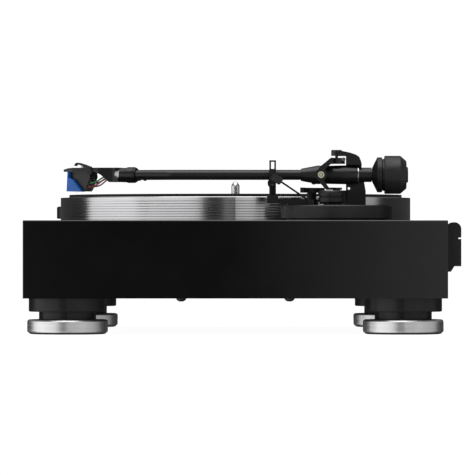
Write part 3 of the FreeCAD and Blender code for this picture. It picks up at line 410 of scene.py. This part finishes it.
def lathed(name, profile, centre, axis, finish, body, segments=40):
    """A turned piece from (radius, height) points about an axis through a centre."""
    shape = bmesh.new()
    upright = facing(axis)
    rings = []
    for radius, height in profile:
        ring = []
        for i in range(segments if radius else 1):
            angle = math.tau * i / segments
            point = Vector((radius * math.cos(angle), radius * math.sin(angle), height))
            ring.append(shape.verts.new(Vector(centre) + upright @ point))
        rings.append(ring)
    for low, high in zip(rings, rings[1:]):
        for i in range(segments):
            corners = [low[i % len(low)], low[(i + 1) % len(low)],
                       high[(i + 1) % len(high)], high[i % len(high)]]
            shape.faces.new(list(dict.fromkeys(corners)))
    return finish_mesh(name, shape, finish, body)


def finish_mesh(name, shape, finish, body):
    """Turns a bmesh into a piece that is smooth but for its sharp edges."""
    bmesh.ops.recalc_face_normals(shape, faces=shape.faces)
    mesh = bpy.data.meshes.new(name)
    shape.to_mesh(mesh)
    shape.free()
    for face in mesh.polygons:
        face.use_smooth = True
    mesh.set_sharp_from_angle(angle=math.radians(35))
    return show(name, mesh, finish, body)


def bars(name, places, finish, body):
    """Small marks, printed ones or painted shade, as one piece, each from (centre, rotation,
    size).
    """
    shape = bmesh.new()
    for centre, turn, size in places:
        for vertex in bmesh.ops.create_cube(shape, size=1)["verts"]:
            scaled = Vector(a * b for a, b in zip(vertex.co, size))
            vertex.co = Vector(centre) + turn @ scaled
    return finish_mesh(name, shape, finish, body)


def slotted_screw(name, centre, axis, radius, tall, finish, body):
    """A cheese-head screw: a domed rim, and a dark bar across the top that paints the shadow of
    a driver slot.
    """
    profile = [(radius, 0), (radius, tall * 0.6), (radius * 0.86, tall), (radius * 0.2, tall),
               (0, tall)]
    lathed(name, profile, centre, axis, finish, body, 28)
    top = Vector(centre) + Vector(axis).normalized() * tall
    slot_turn = 0.6
    # Painted shadow: the slot is not cut; a dark bar across the top stands for its shade.
    bars(name + "_slot_shade", [(top, facing(axis, slot_turn),
                           (radius * 1.5, radius * 0.24, tall * 0.12))], SLOT_SHADE, body)


def cartridge_wires():
    """Four coloured leads that bow from the cartridge's pins up to the headshell's rear."""
    # Name, colour, then the pin's place to the side, its height, and the height it climbs to.
    leads = (("green", (0.06, 0.34, 0.08), 4.9, -6.8, -0.9),
             ("red", (0.42, 0.05, 0.06), 4.9, -9.8, -3.0),
             ("blue", (0.02, 0.08, 0.5), -4.9, -6.6, -0.9),
             ("white", (0.75, 0.6, 0.6), -4.9, -9.6, -3.2))
    # Millimetres ahead, the share of the pin's offset to the side, the share of the climb.
    bow = ((43.4, 1.0, 0.0), (40.6, 1.0, 0.02), (37.2, 0.96, 0.12), (33.6, 0.85, 0.5),
           (30.4, 0.7, 0.88), (28.0, 0.6, 1.0))
    pin_metal = plain_metal("pin_metal", (0.75, 0.62, 0.36), 0.25)
    for name, colour, side, low, high in leads:
        route = [head_point(ahead * MM, out * side * MM, (low + (high - low) * climb) * MM)
                 for ahead, out, climb in bow]
        lead = wire("lead_" + name, route, 0.7 * MM,
                    coloured_plastic("lead_" + name, colour, 0.4), "tonearm")
        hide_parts("cartridge_leads")
        pin = [head_point(ahead * MM, side * MM, low * MM) for ahead in (44.6, 43.6, 42.2)]
        wire("lead_pin_" + name, pin, 0.68 * MM, pin_metal, "tonearm")


def headshell_details():
    """The seams on the cartridge's sides, a white sleeve round the plug whose white is a painted
    highlight, and the finger lift's screw.
    """
    cartridge_half = 8.0 * MM
    seam = Finish("seam_shadow", (0.002, 0.002, 0.002), 0.7)
    seam.shades(seam.noise(900, 3))
    seam.bump(seam.noise(1500, 2), 0.02 * MM)
    along_head = Matrix((HEAD_AHEAD, HEAD_SIDE, Vector((0, 0, 1)))).transposed()
    bars("cartridge_seams",
         [(head_point(50.9 * MM, sign * cartridge_half, 1.2 * MM), along_head,
           (18.4 * MM, 0.12 * MM, 0.22 * MM)) for sign in (-1, 1)],
         seam, "tonearm")
    # Painted highlight: the sleeve is coloured white to give the bright crescent behind the
    # headshell's rear.
    plug, rim, long, ease = 3.2 * MM, 4.3 * MM, 5.4 * MM, 0.3 * MM
    sleeve_shape = [(plug, 0), (rim, ease), (rim, long - 0.2 * MM), (plug, long)]
    lathed("plug_sleeve", sleeve_shape, head_point(15.3 * MM, 0, 0), HEAD_AHEAD,
           coloured_plastic("sleeve_painted_highlight", (0.8, 0.8, 0.8)), "tonearm")
    slotted_screw("grip_screw", head_point(40.8 * MM, 9.8 * MM, 3.2 * MM), HEAD_SIDE,
                  1.2 * MM, 0.4 * MM, plain_metal("grip_steel", (0.05, 0.05, 0.05), 0.3),
                  "tonearm")


def arm_details():
    """Set screws under the tube and the cone, the tower's screw, and the rest's hook."""
    dark = plain_metal("set_screw_metal", (0.05, 0.05, 0.052), 0.3)
    down = (0, 0, -1)
    small = [(1.3 * MM, 0), (1.2 * MM, 0.6 * MM), (0.7 * MM, 0.9 * MM), (0, 0.9 * MM)]
    for i, back in enumerate((1.2 * MM, 6.4 * MM)):
        place = HEAD - HEAD_AHEAD * back - Vector((0, 0, 4.1 * MM))
        lathed(f"tube_screw_{i + 1}", small, place, down, dark, "tonearm", 20)
    large = [(1.9 * MM, 0), (1.8 * MM, 0.8 * MM), (1.2 * MM, 1.2 * MM), (0, 1.2 * MM)]
    lathed("cone_screw", large, PIVOT - Vector((0, 5.7 * MM, 6.9 * MM)), down, dark,
           "tonearm", 24)
    tower_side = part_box("bearing_tower")[1]
    slotted_screw("bracket_screw",
                  (tower_side.x, ARM_AXIS.y + 5.7 * MM, tower_side.z - 7.1 * MM), (1, 0, 0),
                  1.7 * MM, 0.5 * MM, plain_metal("bracket_steel", (0.3, 0.3, 0.3), 0.3),
                  "root")
    post = joint_place("clip_open")
    hook = [post + Vector((-5, back, up)) * MM for back, up in
            ((-2.4, 4.3), (-3.2, 3.8), (-3.5, 2.0), (-3.1, 0.2), (-2.3, -0.4))]
    wire("rest_hook", hook, 0.9 * MM, moulded_black("hook_plastic", 0.006), "root")


def dial_marks():
    """A pointer and its three stops, and plain scales on the dials."""
    white = Finish("printed_white", (0.7, 0.7, 0.7), 0.5)
    white.shades(white.noise(2500, 3), 0.1)
    white.vary_roughness(white.noise(1500, 3), 0.4, 0.6)
    white.bump(white.noise(3000, 2), 0.005 * MM)

    low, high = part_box("speed_knob")
    knob = (low + high) / 2
    bars("speed_pointer", [((knob.x, high.y - 4.6 * MM, high.z - 0.25 * MM),
                            Matrix.Identity(3), (1.0 * MM, 7.4 * MM, 0.1 * MM))],
         white, "speed_knob")
    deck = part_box("plinth_shell")[1].z
    stops = []
    for degrees in (-45, 0, 45):
        turn = Matrix.Rotation(math.radians(degrees), 3, "Z")
        out = turn @ Vector((0, 18.5 * MM, 0))
        stops.append(((knob.x + out.x, knob.y + out.y, deck + 0.03 * MM), turn,
                      (0.8 * MM, 2.2 * MM, 0.06 * MM)))
    bars("speed_marks", stops, white, "root")

    low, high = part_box("antiskate_knob")
    dial, radius, count, major = (low + high) / 2, (high.x - low.x) / 2, 24, 4
    ticks = []
    for i in range(count):
        turn = Matrix.Rotation(math.tau * i / count, 3, "Z")
        out = turn @ Vector((0, 3.2 * MM - radius, 0))
        length = (1.4 if i % major else 2.4) * MM
        ticks.append(((dial.x + out.x, dial.y + out.y, high.z - 0.02 * MM), turn,
                      (0.3 * MM, length, 0.05 * MM)))
    bars("antiskate_scale", ticks, white, "antiskate_knob")

    low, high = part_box("force_dial")
    dial, radius, count, major = (low + high) / 2, (high.x - low.x) / 2, 40, 5
    ticks = []
    for i in range(count):
        turn = Matrix.Rotation(math.tau * i / count, 3, "Y")
        out = turn @ Vector((0, 0, radius))
        inset, length = (1.1, 1.2) if i % major else (1.6, 2.2)
        ticks.append(((dial.x + out.x, high.y - inset * MM, dial.z + out.z), turn,
                      (0.28 * MM, length * MM, 0.08 * MM)))
    bars("force_scale", ticks, painted("printed_grey", 0.05, 0.5, 0.0), "force_dial")


def rear_details():
    """Coloured insulators in the sockets, and the rear panel's screws."""
    low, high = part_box("phono_jacks")
    panel_low, panel_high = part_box("jack_panel")
    face, level, radius = panel_high.y, (low.z + high.z) / 2, (high.z - low.z) / 2
    inner, outer, proud = radius + 0.1 * MM, radius + 1.6 * MM, 1.1 * MM
    ring = [(inner, 0), (outer, 0), (outer - 0.1 * MM, proud - 0.1 * MM), (inner, proud)]
    for side, x, colour in (("left", low.x + radius, (0.75, 0.74, 0.7)),
                            ("right", high.x - radius, (0.6, 0.02, 0.03))):
        lathed("jack_insulator_" + side, ring, (x, face, level), (0, 1, 0),
               coloured_plastic("jack_" + side, colour, 0.35), "root")
    steel = plain_metal("panel_steel", (0.2, 0.2, 0.2), 0.3)
    inset = 5 * MM
    corners = [(x, z) for x in (panel_low.x + inset, panel_high.x - inset)
               for z in (panel_low.z + inset, panel_high.z - inset)]
    for i, (x, z) in enumerate(corners):
        slotted_screw(f"panel_screw_{i + 1}", (x, face, z), (0, 1, 0), 2.2 * MM, 1.1 * MM,
                      steel, "root")


# ---------------------------------------------------------------- stage, lights and camera

def studio_floor():
    """A round pale floor, larger than the object, that gloss and metal don't reflect."""
    radius = 0.62
    mesh = bpy.data.meshes.new("studio_floor")
    shape = bmesh.new()
    bmesh.ops.create_circle(shape, cap_ends=True, radius=radius, segments=96)
    shape.to_mesh(mesh)
    shape.free()
    floor = bpy.data.objects.new("studio_floor", mesh)
    bpy.context.scene.collection.objects.link(floor)
    finish = Finish("floor_paper", (0.45, 0.45, 0.45), 0.9)
    finish.shader.inputs["Emission Color"].default_value = (1, 1, 1, 1)
    finish.shader.inputs["Emission Strength"].default_value = 0.95
    finish.shades(finish.noise(6, 3), 0.01)
    mesh.materials.append(finish.material)
    floor.visible_glossy = False


def studio_world():
    """A light tent: soft boxes round the horizon, by direction, and a bright soft top.

    What the camera sees straight through is a plain pale backdrop."""
    world = bpy.data.worlds.new("studio_world")
    world.use_nodes = True
    bpy.context.scene.world = world
    tree = world.node_tree
    background = tree.nodes["Background"]

    def node(kind, **settings):
        made = tree.nodes.new(kind)
        for name, setting in settings.items():
            setattr(made, name, setting)
        return made

    split = node("ShaderNodeSeparateXYZ")
    tree.links.new(node("ShaderNodeTexCoord").outputs["Generated"], split.inputs[0])
    turn = node("ShaderNodeMath", operation="ARCTAN2")
    tree.links.new(split.outputs["Y"], turn.inputs[0])
    tree.links.new(split.outputs["X"], turn.inputs[1])
    degrees = node("ShaderNodeMapRange")
    tree.links.new(turn.outputs[0], degrees.inputs["Value"])
    degrees.inputs["From Min"].default_value = -math.pi
    degrees.inputs["From Max"].default_value = math.pi
    ring = node("ShaderNodeValToRGB")
    # Degrees from +X towards +Y, and how bright the tent is there at the horizon.
    stops = [(-180, 0.05), (-115, 0.02), (-110.5, 0.85), (-75, 1.0), (-60, 0.85), (-34, 0.8),
             (-24, 0.7), (-20, 0.02), (-8.2, 0.02), (-7.6, 0.22), (-3.4, 0.22), (-2.5, 0.045),
             (0.3, 0.045), (2.6, 0.6), (11, 0.6), (14, 0.4), (30, 0.42), (45, 0.55),
             (60, 0.4), (80, 0.4), (104, 0.35), (110, 0.02), (180, 0.05)]
    elements = ring.color_ramp.elements
    while len(elements) > 1:
        elements.remove(elements[0])
    for i, (angle, level) in enumerate(stops):
        element = elements[0] if i == 0 else elements.new((angle + 180) / 360)
        element.position = (angle + 180) / 360
        element.color = (level, level, level, 1)
    tree.links.new(degrees.outputs[0], ring.inputs["Fac"])

    def by_height(low, high):
        """A brightness that changes with how high a direction points: (height, level)."""
        ramp = node("ShaderNodeValToRGB")
        tree.links.new(split.outputs["Z"], ramp.inputs["Fac"])
        for element, (height, level) in zip(ramp.color_ramp.elements, (low, high)):
            element.position = height
            element.color = (level, level, level, 1)
        return ramp.outputs["Color"]

    mix = node("ShaderNodeMix", data_type="RGBA")
    tree.links.new(by_height((0.30, 0), (0.42, 1)), mix.inputs["Factor"])
    tree.links.new(ring.outputs["Color"], mix.inputs[6])
    tree.links.new(by_height((0.72, 0.16), (0.86, 1)), mix.inputs[7])
    backdrop = node("ShaderNodeMix", data_type="RGBA")
    tree.links.new(node("ShaderNodeLightPath").outputs["Is Camera Ray"],
                   backdrop.inputs["Factor"])
    tree.links.new(mix.outputs[2], backdrop.inputs[6])
    backdrop.inputs[7].default_value = (0.9, 0.9, 0.9, 1)
    tree.links.new(backdrop.outputs[2], background.inputs["Color"])
    background.inputs["Strength"].default_value = 1.15


def softbox(name, place, aim, width, height, watts):
    """A rectangular lamp that points at a place."""
    light = bpy.data.lights.new(name, "AREA")
    light.shape = "RECTANGLE"
    light.size, light.size_y, light.energy = width, height, watts
    lamp = bpy.data.objects.new(name, light)
    lamp.location = place
    lamp.rotation_euler = (Vector(aim) - Vector(place)).to_track_quat("-Z", "Y").to_euler()
    bpy.context.scene.collection.objects.link(lamp)


def camera():
    """A long lens, dead level, looking along -X at the tonearm's side."""
    lens = bpy.data.cameras.new("camera")
    lens.lens = 397.5
    lens.sensor_width = 36
    lens.clip_end = 100
    eye = bpy.data.objects.new("camera", lens)
    eye.location = (4.558, -0.004, 0.0806)
    eye.rotation_euler = (math.radians(90), 0, math.radians(90))
    bpy.context.scene.collection.objects.link(eye)
    bpy.context.scene.camera = eye


# Painted shadow: this dark finish stands for the shade inside screw slots.
SLOT_SHADE = plain_metal("slot_shadow", (0.01, 0.01, 0.01), 0.5)

dress_cad_nodes()
cartridge_wires()
headshell_details()
arm_details()
dial_marks()
rear_details()
studio_floor()
studio_world()
softbox("top_softbox", (0.6, -0.2, 2.2), (0, 0, 0.1), 2.2, 2.2, 26)
camera()
bpy.context.scene.view_settings.view_transform = "Standard"
